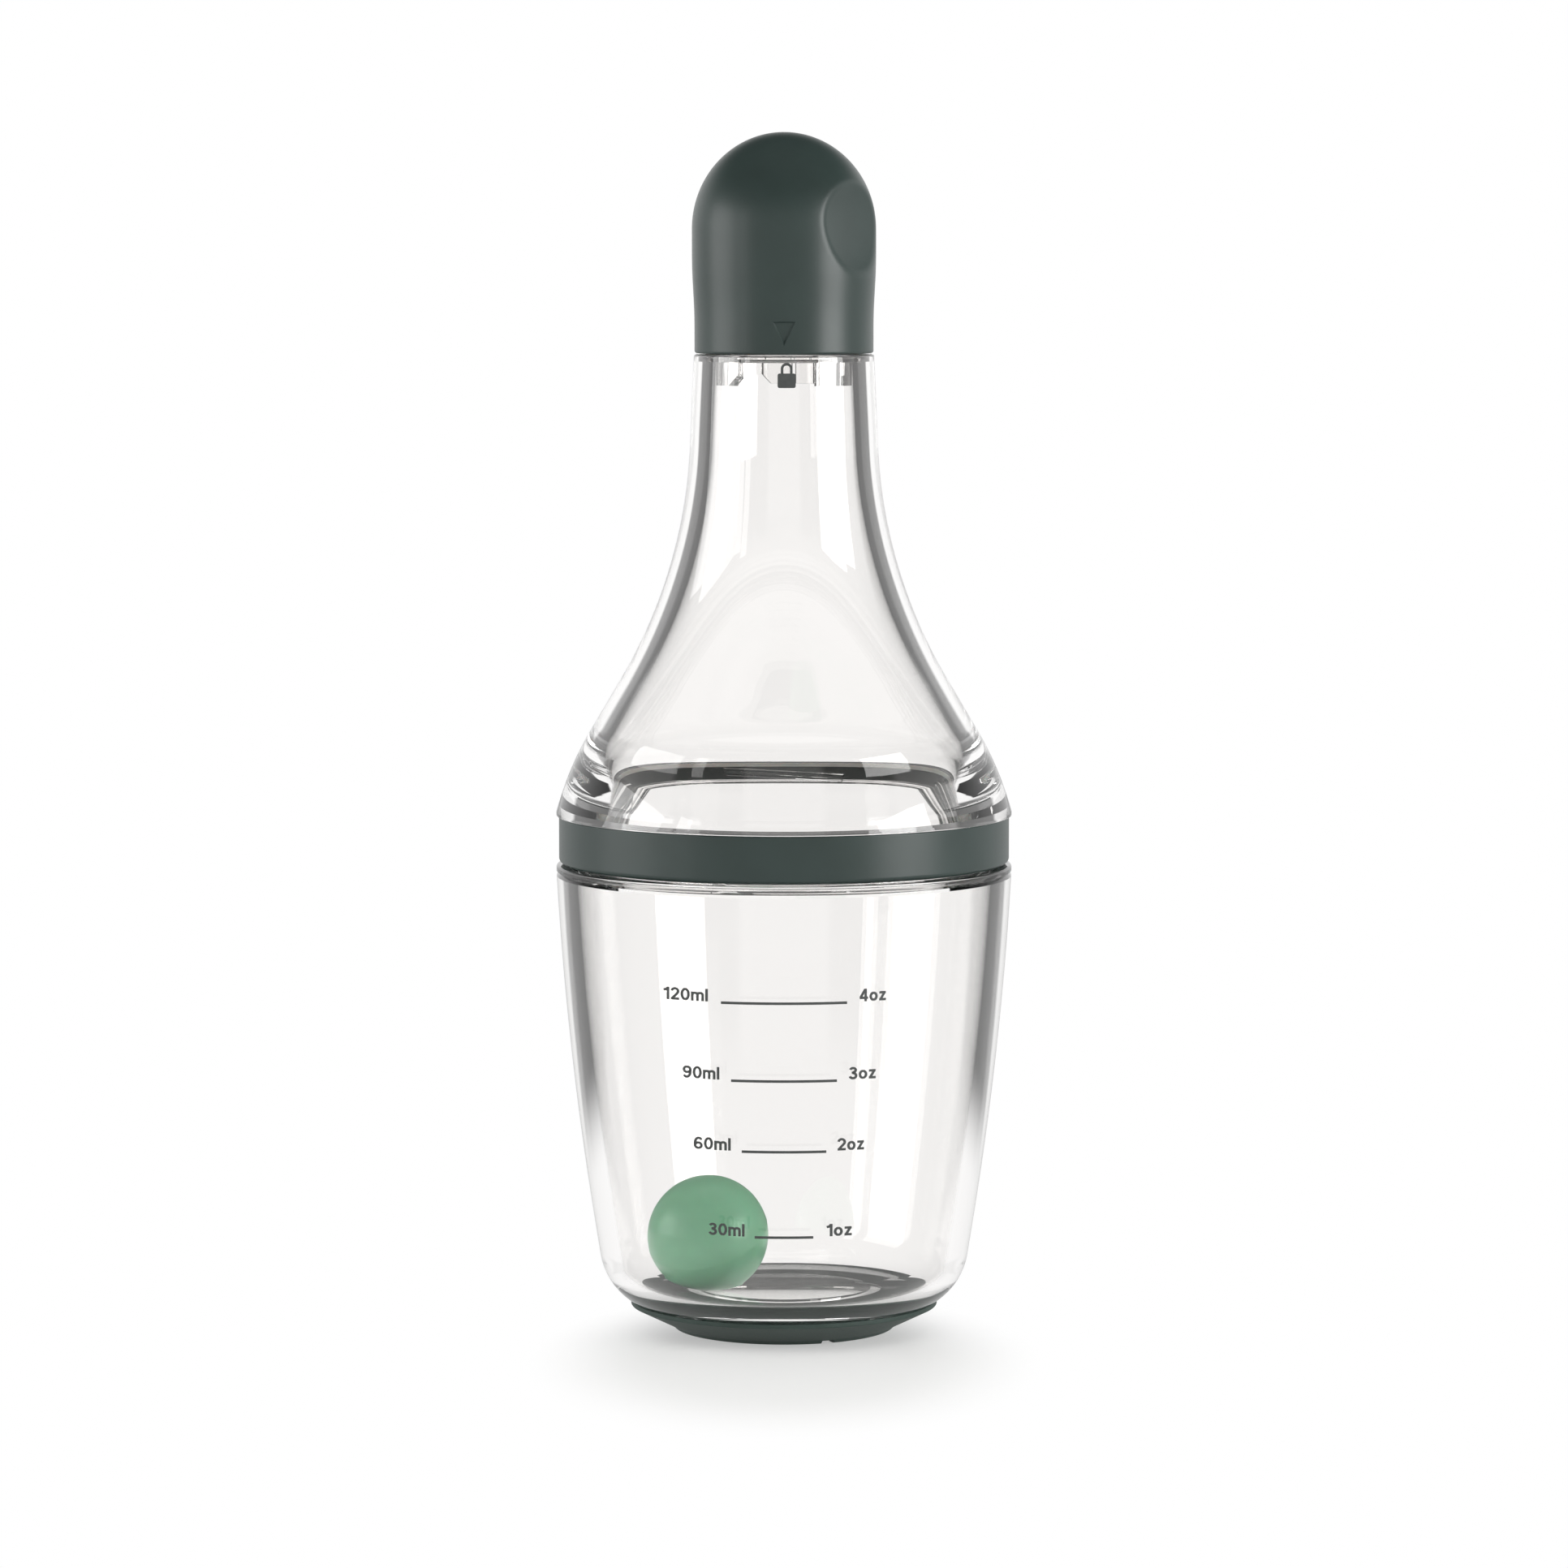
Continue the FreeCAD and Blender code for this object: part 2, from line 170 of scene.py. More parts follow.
# a section swept part of a turn round the axis, rising as it goes, with both ends closed
def sweepSection(name, points, turn, sweep, rise, steps):
    piece = drawOutline(name, points)
    bpy.ops.object.modifier_add(type="SCREW")
    screw = piece.modifiers[-1]
    screw.axis = "Z"
    screw.angle = math.radians(sweep)
    screw.screw_offset = rise * mm
    screw.steps = screw.render_steps = steps
    bpy.ops.object.modifier_apply(modifier=screw.name)
    bpy.ops.object.mode_set(mode="EDIT")
    bpy.ops.mesh.select_all(action="SELECT")
    bpy.ops.mesh.fill_holes(sides=0)
    closeMesh()
    piece.rotation_euler = (0, 0, math.radians(turn - 90))  # degrees right of the front
    bpy.ops.object.transform_apply(location=True, rotation=True, scale=True)
    return piece


# adds or cuts another shape with a Boolean, and removes that shape
def combine(piece, tool, operation):
    bpy.ops.object.select_all(action="DESELECT")
    bpy.context.view_layer.objects.active = piece
    piece.select_set(True)
    bpy.ops.object.modifier_add(type="BOOLEAN")
    boolean = piece.modifiers[-1]
    boolean.operation = operation
    boolean.solver = "EXACT"
    boolean.object = tool
    bpy.ops.object.modifier_apply(modifier=boolean.name)
    bpy.data.objects.remove(tool)


# the starts of a thread: one rib, copied round the axis and added to its wall
def addRibs(piece, rib, root, tip, level, lead, starts, sweep):
    buried = root - math.copysign(rib["buried"], tip - root)
    low, high = level - rib["height"] / 2, level + rib["height"] / 2
    section = [(buried, low), (root, low), (tip, level - rib["tip"] / 2),
               (tip, level + rib["tip"] / 2), (root, high), (buried, high)]
    for i in range(starts):
        turn = 360.0 * i / starts - sweep / 2
        tool = sweepSection("rib", section + section[:1], turn, sweep, lead * sweep / 360, rib["steps"])
        combine(piece, tool, "UNION")


def smoothPiece(piece, angle=28):
    bpy.ops.object.select_all(action="DESELECT")
    bpy.context.view_layer.objects.active = piece
    piece.select_set(True)
    bpy.ops.object.shade_smooth_by_angle(angle=math.radians(angle))
    bpy.ops.object.modifier_add(type="WEIGHTED_NORMAL")  # keeps long flat stretches flat beside their roundings
    piece.modifiers[-1].keep_sharp = True
    bpy.ops.object.modifier_apply(modifier=piece.modifiers[-1].name)


def placePiece(piece, material, slotName, body, *nodes):
    piece.data.materials.clear()
    piece.data.materials.append(material)
    if nodes:
        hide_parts(*nodes)
    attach(piece, body)


# Clear copolyester, moulded and polished. The eye sees what lies behind it, with sharp dark and white lines where the
# walls turn away, and a very slight unevenness of the moulded faces.
clearLook = {"tint": "#fffefd", "ior": 1.56, "rough": (0.0, 0.012), "waveMm": 14.0, "waveDepthMm": 0.010}
clearPlastic, tree = newMaterial("clearCopolyester")
place = addNode(tree, "ShaderNodeTexCoord")
wave = addNode(tree, "ShaderNodeTexNoise", {}, {"Scale": 1 / (clearLook["waveMm"] * mm), "Detail": 1.0},
               {"Vector": place.outputs["Object"]})
haze = addNode(tree, "ShaderNodeMapRange", {}, {"To Min": clearLook["rough"][0], "To Max": clearLook["rough"][1]},
               {"Value": wave.outputs["Fac"]})
ripple = addNode(tree, "ShaderNodeBump", {}, {"Strength": 1.0, "Distance": clearLook["waveDepthMm"] * mm},
                 {"Height": wave.outputs["Fac"]})
shader = addNode(tree, "ShaderNodeBsdfPrincipled", {},
                 {"Base Color": linearColour(clearLook["tint"]), "IOR": clearLook["ior"], "Transmission Weight": 1.0},
                 {"Roughness": haze.outputs["Result"], "Normal": ripple.outputs["Normal"]})
addNode(tree, "ShaderNodeOutputMaterial", {}, {}, {"Surface": shader.outputs["BSDF"]})


# Coloured polymer with a fine grain: colour drifts a little, and the grain breaks up the gloss.
def grainedPolymer(name, look):
    material, tree = newMaterial(name)
    place = addNode(tree, "ShaderNodeTexCoord")
    cloud = addNode(tree, "ShaderNodeTexNoise", {}, {"Scale": 1 / (look["cloudMm"] * mm), "Detail": 3.0},
                    {"Vector": place.outputs["Object"]})
    grain = addNode(tree, "ShaderNodeTexNoise", {}, {"Scale": 1 / (look["grainMm"] * mm), "Detail": 2.0},
                    {"Vector": place.outputs["Object"]})
    shades = addNode(tree, "ShaderNodeValToRGB", {}, {}, {"Fac": cloud.outputs["Fac"]})
    shades.color_ramp.elements[0].position = 0.3
    shades.color_ramp.elements[0].color = linearColour(look["dark"])
    shades.color_ramp.elements[1].position = 0.7
    shades.color_ramp.elements[1].color = linearColour(look["light"])
    gloss = addNode(tree, "ShaderNodeMapRange", {}, {"To Min": look["rough"][0], "To Max": look["rough"][1]},
                    {"Value": grain.outputs["Fac"]})
    texture = addNode(tree, "ShaderNodeBump", {}, {"Strength": 1.0, "Distance": look["grainDepthMm"] * mm},
                      {"Height": grain.outputs["Fac"]})
    shader = addNode(tree, "ShaderNodeBsdfPrincipled", {},
                     {"IOR": look["ior"], "Subsurface Weight": look["soft"], "Subsurface Scale": mm},
                     {"Base Color": shades.outputs["Color"], "Roughness": gloss.outputs["Result"],
                      "Normal": texture.outputs["Normal"]})
    addNode(tree, "ShaderNodeOutputMaterial", {}, {}, {"Surface": shader.outputs["BSDF"]})
    return material


# Polypropylene from a spark-eroded mould: satin, with broad soft highlights. The real 0.1 mm grain is drawn at
# 0.3 mm.
satinPlastic = grainedPolymer("satinPolypropylene", {
    "dark": "#323f3c", "light": "#364441", "cloudMm": 9.0, "rough": (0.3, 0.38), "grainMm": 0.3,
    "grainDepthMm": 0.004, "ior": 1.49, "soft": 0.0})
# The liner is the same polymer from a plain mould, its colour set darker than the cap's.
linerPlastic = grainedPolymer("linerPolypropylene", {
    "dark": "#22332f", "light": "#263834", "cloudMm": 9.0, "rough": (0.3, 0.38), "grainMm": 0.5,
    "grainDepthMm": 0.003, "ior": 1.49, "soft": 0.0})
# Silicone rubber is dull and a little dusty. Its real 0.05 mm grain is drawn at 0.35 mm.
footSilicone = grainedPolymer("mattSilicone", {
    "dark": "#374640", "light": "#3c4c46", "cloudMm": 6.0, "rough": (0.5, 0.62), "grainMm": 0.35,
    "grainDepthMm": 0.002, "ior": 1.42, "soft": 0.0})
ballSilicone = grainedPolymer("jadeSilicone", {
    "dark": "#6bb687", "light": "#73bd90", "cloudMm": 5.0, "rough": (0.28, 0.36), "grainMm": 0.4,
    "grainDepthMm": 0.004, "ior": 1.65, "soft": 0.1})
sealSilicone = grainedPolymer("milkySilicone", {
    "dark": "#cfcfc9", "light": "#d9d9d3", "cloudMm": 4.0, "rough": (0.4, 0.5), "grainMm": 0.4,
    "grainDepthMm": 0.004, "ior": 1.42, "soft": 0.2})
# Screen-printing ink lies as a thin dull film, slightly uneven in tone.
printInk = grainedPolymer("screenPrintInk", {
    "dark": "#4a4d4c", "light": "#535655", "cloudMm": 0.8, "rough": (0.45, 0.6), "grainMm": 0.2,
    "grainDepthMm": 0.002, "ior": 1.5, "soft": 0.0})
print("materials ready")


# levels and radii that the pieces share, in mm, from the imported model
bandGap = 0.3  # band to the ledge under it


def nodeBox(node):
    low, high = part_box(node)
    return low / mm, high / mm


cupLow, cupHigh = nodeBox("cup")
bandLow, bandHigh = nodeBox("joint_band")
bodyLow, bodyHigh = nodeBox("upper_body")
insertLow, insertHigh = nodeBox("pour_insert")
capLow, capHigh = nodeBox("cap_shell")
footLow, footHigh = nodeBox("foot_ring")
ballLow, ballHigh = nodeBox("mixing_ball")
gasketLow, gasketHigh = nodeBox("rim_gasket")
sealLow, sealHigh = nodeBox("cap_seal")
cupRadius = cupHigh.x
jointLevel = bandHigh.z
ledgeLevel = bandLow.z - bandGap
neckLevel = bodyHigh.z
threadRib = {"height": 1.4, "tip": 0.9, "depth": 0.7, "slack": 0.3, "buried": 0.3, "steps": 24}
bodyThread = {"lead": 24.0, "starts": 4, "sweep": 40.0}
capThread = {"lead": 20.0, "starts": 3, "sweep": 50.0}


# the cup, from the axis under its base, out and up its side, and down inside to the middle of its floor
cupLook = {"wall": 3.1, "belly": (1.55, 43.4, 570.0), "base": (27.5, 4.8), "baseRound": 10.0, "boss": (13.6, 15.4),
           "underside": 2.0, "recess": 3.4, "snapBead": 0.35, "bead": 1.3, "groove": 0.4, "collar": (31.2, 32.8),
           "collarStart": 70.95, "floor": 6.5, "floorRound": 5.5, "edge": 0.4, "fine": 0.2, "steps": 224}
collarBore, collarRadius = cupLook["collar"]
cupSide = [cupLook["base"],
           (cupRadius - cupLook["belly"][0],) + cupLook["belly"][1:],
           (cupRadius, ledgeLevel - cupLook["bead"])]
base, belly, ledge = cupSide
innerBase, innerBelly, innerLedge = insetCorners(cupSide, cupLook["wall"])
bossBore, bossRadius = cupLook["boss"]
beadLevel = (cupLow.z + cupLook["underside"]) / 2
cupBase = [(bossRadius, cupLook["underside"]), base + (cupLook["baseRound"],)]
bossSide = [(bossRadius, beadLevel - cupLook["snapBead"]), (bossRadius + cupLook["snapBead"], beadLevel),
            (bossRadius, beadLevel + cupLook["snapBead"])]
cupCorners = [(0, cupLook["recess"]), (bossBore, cupLook["recess"]), (bossBore, cupLow.z),
              (bossRadius, cupLow.z, cupLook["fine"])]
cupCorners += bossSide + cupBase + [belly, atLevel(belly, ledge, ledge[1] - cupLook["groove"])]
cupCorners += [(cupRadius - cupLook["groove"], ledge[1]), (cupRadius, ledge[1] + cupLook["groove"]),
               (cupRadius, ledgeLevel, cupLook["edge"]), (collarRadius, ledgeLevel),
               (collarRadius, cupHigh.z, cupLook["edge"]), (collarBore, cupHigh.z, cupLook["fine"]),
               (collarBore, bodyLow.z + cupLook["edge"], cupLook["edge"]),
               atLevel(innerBelly, innerLedge, cupLook["collarStart"]) + (cupLook["edge"],), innerBelly,
               atLevel(innerBase, innerBelly, cupLook["floor"]) + (cupLook["floorRound"],), (0, cupLook["floor"])]
cupPiece = spinOutline("clearCup", roundedOutline(cupCorners), cupLook["steps"])
collarRibRise = bodyThread["lead"] * bodyThread["sweep"] / 360
collarRibLevel = cupHigh.z - cupLook["edge"] - threadRib["height"] / 2 - collarRibRise
addRibs(cupPiece, threadRib, collarBore, collarBore - threadRib["depth"], collarRibLevel, **bodyThread)
smoothPiece(cupPiece)
placePiece(cupPiece, clearPlastic, "clear_plastic", "cup_body", "cup")
print("cup", len(cupPiece.data.polygons))


# the upper body, up its outside, down its inside and round its threaded sleeve
bodyLook = {"wall": 3.4, "neck": 13.86, "flare": (1.48, 33.3, 77.0), "shoulder": (2.2, 7.8, 49.0), "flange": 0.6,
            "mouth": 11.86, "mouthDepth": 1.2, "sleeve": (28.4, 30.2), "throatRound": 14.0,
            "tongue": (33.65, 34.25, 1.2), "start": 0.2, "fine": 0.15, "edge": 0.4, "steps": 224}
neck = bodyLook["neck"]
bodySide = [(cupRadius, jointLevel + bodyLook["flange"]),
            (cupRadius - bodyLook["shoulder"][0], jointLevel + bodyLook["shoulder"][1], bodyLook["shoulder"][2]),
            (neck + bodyLook["flare"][0], neckLevel - bodyLook["flare"][1], bodyLook["flare"][2]),
            (neck, neckLevel)]
flange, shoulder, flare, rim = insetCorners(bodySide, bodyLook["wall"])
sleeveBore, sleeveRadius = bodyLook["sleeve"]
tongueIn, tongueOut, tongueDepth = bodyLook["tongue"]
insertLevel = neckLevel - bodyLook["mouthDepth"]
bodyStart = (cupRadius - bodyLook["start"], jointLevel)
bodyCorners = [bodyStart, (cupRadius, jointLevel, bodyLook["fine"])] + bodySide[:3]
bodyCorners += [(neck, neckLevel, bodyLook["edge"]), (bodyLook["mouth"], neckLevel), (bodyLook["mouth"], insertLevel),
                atLevel(flare, rim, insertLevel), flare,
                atRadius(shoulder, flare, sleeveBore) + (bodyLook["throatRound"],),
                (sleeveBore, bodyLow.z, bodyLook["edge"]), (sleeveRadius, bodyLow.z, bodyLook["edge"]),
                (sleeveRadius, jointLevel), (tongueIn, jointLevel), (tongueIn, jointLevel - tongueDepth),
                (tongueOut, jointLevel - tongueDepth), (tongueOut, jointLevel), bodyStart]
bodyPiece = spinOutline("clearFunnel", roundedOutline(bodyCorners), bodyLook["steps"])
sleeveRibLevel = collarRibLevel - threadRib["height"] - threadRib["slack"]
addRibs(bodyPiece, threadRib, sleeveRadius, sleeveRadius + threadRib["depth"], sleeveRibLevel, **bodyThread)
smoothPiece(bodyPiece)
placePiece(bodyPiece, clearPlastic, "clear_plastic", "bottle_top", "upper_body")
print("upper body", len(bodyPiece.data.polygons))


# the pouring insert: a plate with a threaded spout, and legs of two kinds that reach down into the neck
insertLook = {"spout": (7.16, 8.56), "rim": 11.81, "legRoot": 0.6, "legWall": 1.3, "fit": 0.05,
              "wide": (-53.0, 30.0), "narrow": (38.0, 20.0), "legs": 3, "legSteps": 16, "chamfer": 1.6,
              "linerEnd": 1.9, "start": 2, "edge": 0.4, "fine": 0.2, "lip": 0.68, "steps": 160}
spoutBore, spoutRadius = insertLook["spout"]
insertStart = (spoutBore, insertLevel + insertLook["start"])
insertCorners = [insertStart, (spoutBore, insertLevel, insertLook["edge"]), (insertLook["rim"], insertLevel),
                 (insertLook["rim"], neckLevel, insertLook["fine"]), (spoutRadius, neckLevel, insertLook["edge"]),
                 (spoutRadius, insertHigh.z, insertLook["lip"]), (spoutBore, insertHigh.z, insertLook["lip"]),
                 insertStart]
insertPiece = spinOutline("clearPourInsert", roundedOutline(insertCorners), insertLook["steps"])
legOuter = neck - bodyLook["wall"] - insertLook["fit"]
legInner = legOuter - insertLook["legWall"]
legTop = insertLevel + insertLook["legRoot"]
legSection = [(legInner, insertLow.z), (legOuter, insertLow.z), (legOuter, legTop), (legInner, legTop),
              (legInner, insertLow.z)]


# the wide leg's right lower corner is cut off
def chamferLeg(leg, reach):
    endX = max(v.co.x for v in leg.data.vertices)
    bpy.ops.object.mode_set(mode="EDIT")
    bpy.ops.mesh.select_all(action="SELECT")
    corner = (endX, 0, (insertLow.z + reach) * mm)
    bpy.ops.mesh.bisect(plane_co=corner, plane_no=(1, 0, -1), use_fill=True, clear_outer=True)
    closeMesh()


for i in range(insertLook["legs"]):
    for kind in ("wide", "narrow"):
        turn, sweep = insertLook[kind]
        leg = sweepSection("leg", legSection, -sweep / 2, sweep, 0, insertLook["legSteps"])
        if kind == "wide":
            chamferLeg(leg, insertLook["chamfer"])
        leg.rotation_euler = (0, 0, math.radians(turn + 360 * i / insertLook["legs"]))
        bpy.ops.object.transform_apply(location=True, rotation=True, scale=True)
        combine(insertPiece, leg, "UNION")
# the spout's ribs lie over the liner's, which start at its lower end
linerRibLow = neckLevel + insertLook["linerEnd"] + insertLook["edge"]
spoutRibLevel = linerRibLow + threadRib["height"] * 1.5 + threadRib["slack"]
addRibs(insertPiece, threadRib, spoutRadius, spoutRadius + threadRib["depth"], spoutRibLevel, **capThread)
smoothPiece(insertPiece)
placePiece(insertPiece, clearPlastic, "clear_plastic", "bottle_top", "pour_insert")
print("pour insert", len(insertPiece.data.polygons))


# the cap: skirt and dome, hollow inside, with two finger scoops and a triangle over its edge
capLook = {"edgeRadius": 13.76, "bulge": 0.38, "waist": 6.1, "swell": 13.1, "swellRound": 80.0, "dome": 14.8,
           "skirtBore": 12.16, "cavity": 10.44, "linerTop": 163.5, "crown": 2.8, "edge": 0.4, "scoopDepth": 2.4,
           "scoopPlan": 100.0, "scoopSide": 19.0, "scoopDrop": 12.5, "scoopTurn": 57.0, "scoopSoft": 0.5,
           "scoopMargin": 0.5, "pointer": (3.87, 3.76, 0.3, 1.3), "arcRow": 0.4, "row": 0.35, "domeRows": 64,
           "cavityRows": 24, "steps": 288}
edgeRadius = capLook["edgeRadius"]
capRadius = edgeRadius + capLook["bulge"]
domeLevel = capHigh.z - capLook["dome"]


# points of a quarter ellipse from its side up to the axis
def domeOutline(radius, level, top, count):
    angles = [math.pi / 2 * k / count for k in range(count + 1)]
    return [Vector((radius * math.cos(a), level + (top - level) * math.sin(a))) for a in angles]


# extra points on the straight stretches of an outline
def finerOutline(points, longest):
    finer = [points[0]]
    for a, b in zip(points, points[1:]):
        count = math.ceil((b - a).length / longest)
        finer += [a.lerp(b, k / count) for k in range(1, count + 1)]
    return finer


skirt = roundedOutline([(capLook["skirtBore"], capLow.z, 0), (edgeRadius, capLow.z, capLook["edge"]),
                        (edgeRadius, capLow.z + capLook["waist"], capLook["swellRound"]),
                        (capRadius, capLow.z + capLook["swell"], capLook["swellRound"]), (capRadius, domeLevel)],
                       longest=capLook["arcRow"])
skirt = skirt[:1] + finerOutline(skirt[1:], capLook["row"])
crown = domeOutline(capRadius, domeLevel, capHigh.z, capLook["domeRows"])
cavity = domeOutline(capLook["cavity"], domeLevel, capHigh.z - capLook["crown"], capLook["cavityRows"])
inside = [Vector((radius, capLook["linerTop"])) for radius in (capLook["cavity"], capLook["skirtBore"])] + skirt[:1]
capPiece = spinOutline("domedCap", skirt + crown[1:] + cavity[::-1] + inside, capLook["steps"])

# each scoop is where a thick ring beside the cap presses into it, with a soft edge
scoopCentre = capRadius - capLook["scoopDepth"] + capLook["scoopPlan"]
ringRadius = capLook["scoopPlan"] - capLook["scoopSide"]
scoopLevel = Vector((0, 0, capHigh.z - capLook["scoopDrop"]))
for side in (0, 180):
    turn = math.radians(capLook["scoopTurn"] + side)
    centre = Vector((math.sin(turn), -math.cos(turn), 0)) * scoopCentre + scoopLevel
    for vertex in capPiece.data.vertices:
        offset = vertex.co / mm - centre
        flat = Vector((offset.x, offset.y, 0))
        tube = offset - flat.normalized() * ringRadius
        depth = capLook["scoopSide"] - tube.length
        blend = max(capLook["scoopSoft"] - abs(depth), 0) / capLook["scoopSoft"]
        press = max(depth, 0) + blend * blend * capLook["scoopSoft"] / 4
        if press > 0 and Vector(vertex.co[:2]).length / mm > capLook["cavity"] + capLook["scoopMargin"]:
            vertex.co += tube.normalized() * (press * mm)

# the triangle is cut with a prism that widens outwards, so its walls slope
width, height, depth, lift = capLook["pointer"]
inRadius = width * height / (width + 2 * math.hypot(width / 2, height))
middle = capLow.z + lift + height - inRadius
shrink = 1 - depth / inRadius
outline = [(0, inRadius - height), (width / 2, inRadius), (-width / 2, inRadius), (0, inRadius - height)]
pointer = drawOutline("pointer", [(x * shrink, middle + z * shrink) for x, z in outline])
bpy.ops.object.mode_set(mode="EDIT")
bpy.ops.mesh.select_all(action="SELECT")
bpy.ops.mesh.edge_face_add()
bpy.ops.transform.translate(value=(0, (depth - edgeRadius) * mm, 0))
bpy.ops.mesh.extrude_region_move(TRANSFORM_OT_translate={"value": (0, -2 * depth * mm, 0)})
widen = (1 + depth / inRadius) / shrink
bpy.ops.transform.resize(value=(widen, 1, widen), center_override=(0, -(edgeRadius + depth) * mm, middle * mm))
closeMesh()
combine(capPiece, pointer, "DIFFERENCE")
smoothPiece(capPiece, 35)
placePiece(capPiece, satinPlastic, "green_plastic", "cap", "cap_shell")
print("cap", len(capPiece.data.polygons))


# the band at the joint, held by a groove on the flange's tongue
bandLook = {"wall": 1.7, "round": 0.8, "edge": 0.4, "topEdge": 0.25, "groove": (33.6, 34.3, 1.25), "seat": 0.03,
            "start": 1, "steps": 224}
bandRadius = bandHigh.x
bandBore = bandRadius - bandLook["wall"]
bandTop = bandHigh.z - bandLook["seat"]
bandStart = (bandBore, bandTop - bandLook["start"])
grooveIn, grooveOut, grooveDepth = bandLook["groove"]
bandCorners = [bandStart, (bandBore, bandLow.z, bandLook["edge"]), (bandRadius, bandLow.z, bandLook["round"]),
               (bandRadius, bandTop, bandLook["topEdge"]), (grooveOut, bandTop), (grooveOut, bandTop - grooveDepth),
               (grooveIn, bandTop - grooveDepth), (grooveIn, bandTop), (bandBore, bandTop), bandStart]
bandPiece = spinOutline("jointBand", roundedOutline(bandCorners), bandLook["steps"])
smoothPiece(bandPiece)
placePiece(bandPiece, satinPlastic, "green_plastic", "bottle_top", "joint_band")
print("band", len(bandPiece.data.polygons))


# the foot ring fits under the cup's base, with a small vent through its tread
footLook = {"tread": 17.0, "kick": 0.6, "rimDrop": 1.15, "round": 0.2, "edge": 0.4, "seat": 0.05, "wet": 0.03,
            "start": 0.2, "rimMargin": 0.2, "rimStep": 0.2, "rimRound": 0.15, "vent": (2.0, 0.5, 23.0),
            "ventDepth": 8, "steps": 224}
tread, kick = footLook["tread"], footLook["kick"]
footBore = bossRadius + footLook["seat"]
underCup = [p for p in roundedOutline(cupBase + [belly])[:-1] if p.x < footHigh.x - footLook["rimMargin"]]
baseCurve = roundedOutline(cupBase + [belly], longest=footLook["rimStep"])
rimTop = min(baseCurve, key=lambda p: abs(p.x - footHigh.x)).y
footSeat = [(p.x, p.y + footLook["wet"]) for p in underCup]  # pressed on the base with no air between
footCorners = [(footBore, footLook["start"]), (footBore, 0), (tread, 0, footLook["round"]),
               (tread + kick, kick, footLook["edge"]), (footHigh.x, base[1] - footLook["rimDrop"], footLook["round"]),
               (footHigh.x, rimTop - footLook["seat"], footLook["rimRound"])] + footSeat[::-1]
footCorners += [(p[0] + footLook["seat"], p[1]) for p in bossSide[::-1]] + footCorners[:1]
footPiece = spinOutline("footRing", roundedOutline(footCorners), footLook["steps"])
ventWidth, ventHeight, ventTurn = footLook["vent"]
bpy.ops.object.select_all(action="DESELECT")
bpy.ops.mesh.primitive_cube_add(size=mm, location=(0, -tread * mm, 0))
vent = bpy.context.object
vent.scale = (ventWidth, footLook["ventDepth"], ventHeight * 2)
bpy.ops.object.transform_apply(location=True, rotation=True, scale=True)
vent.rotation_euler = (0, 0, math.radians(ventTurn))
bpy.ops.object.transform_apply(location=True, rotation=True, scale=True)
combine(footPiece, vent, "DIFFERENCE")
smoothPiece(footPiece)
placePiece(footPiece, footSilicone, "green_silicone", "cup_body", "foot_ring")
print("foot ring", len(footPiece.data.polygons))


# the ball, moulded in two halves, with its faint parting line tilted where it lies
ballLook = {"partingRise": 0.05, "partingWidth": 0.35, "tilt": (24.0, -14.0), "rows": 96, "steps": 128}
ballRadius = (ballHigh.x - ballLow.x) / 2
ballOutline = []
for k in range(ballLook["rows"] + 1):
    a = math.pi * (k / ballLook["rows"] - 0.5)
    ridge = ballLook["partingRise"] * math.exp(-(a * ballRadius / ballLook["partingWidth"]) ** 2)
    radius = ballRadius - ballLook["partingRise"] + ridge
    ballOutline.append((radius * math.cos(a) if 0 < k < ballLook["rows"] else 0.0, radius * math.sin(a)))
ballPiece = spinOutline("mixingBall", ballOutline, ballLook["steps"])
ballPiece.rotation_euler = (math.radians(ballLook["tilt"][0]), math.radians(ballLook["tilt"][1]), 0)
ballPiece.location = (ballLow + ballHigh) / 2 * mm
bpy.ops.object.transform_apply(location=True, rotation=True, scale=True)
smoothPiece(ballPiece, 60)
placePiece(ballPiece, ballSilicone, "ball_silicone", "ball", "mixing_ball")
print("ball", len(ballPiece.data.polygons))


# the two plain seals, a hair thinner than the gaps that they fill
sealLook = {"sleeveGap": 0.3, "boreLap": 0.7, "seat": 0.02, "edge": 0.2, "steps": 160}
for name, low, high, innerRadius, body, node in (
        ("rimGasket", gasketLow, gasketHigh, sleeveRadius + sealLook["sleeveGap"], "rim_seal", "rim_gasket"),
        ("capSeal", sealLow, sealHigh, spoutBore - sealLook["boreLap"], "cap_gasket", "cap_seal")):
    bottom, top = low.z + sealLook["seat"], high.z - sealLook["seat"]
    start = (innerRadius, (bottom + top) / 2)
    corners = ((innerRadius, bottom), (high.x, bottom), (high.x, top), (innerRadius, top))
    ring = [start] + [corner + (sealLook["edge"],) for corner in corners] + [start]
    sealPiece = spinOutline(name, roundedOutline(ring), sealLook["steps"])
    smoothPiece(sealPiece)
    placePiece(sealPiece, sealSilicone, "seal_silicone", body, node)
    print(name, len(sealPiece.data.polygons))

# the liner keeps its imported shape
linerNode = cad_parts["cap_liner"]
linerNode.data.materials.clear()
linerNode.data.materials.append(linerPlastic)


# flat print laid on a clear wall from the front, as a thin film just off its surface
printLook = {"clearMm": 0.02, "filmMm": 0.02, "startY": -60}  # drawn this far in front, then laid on


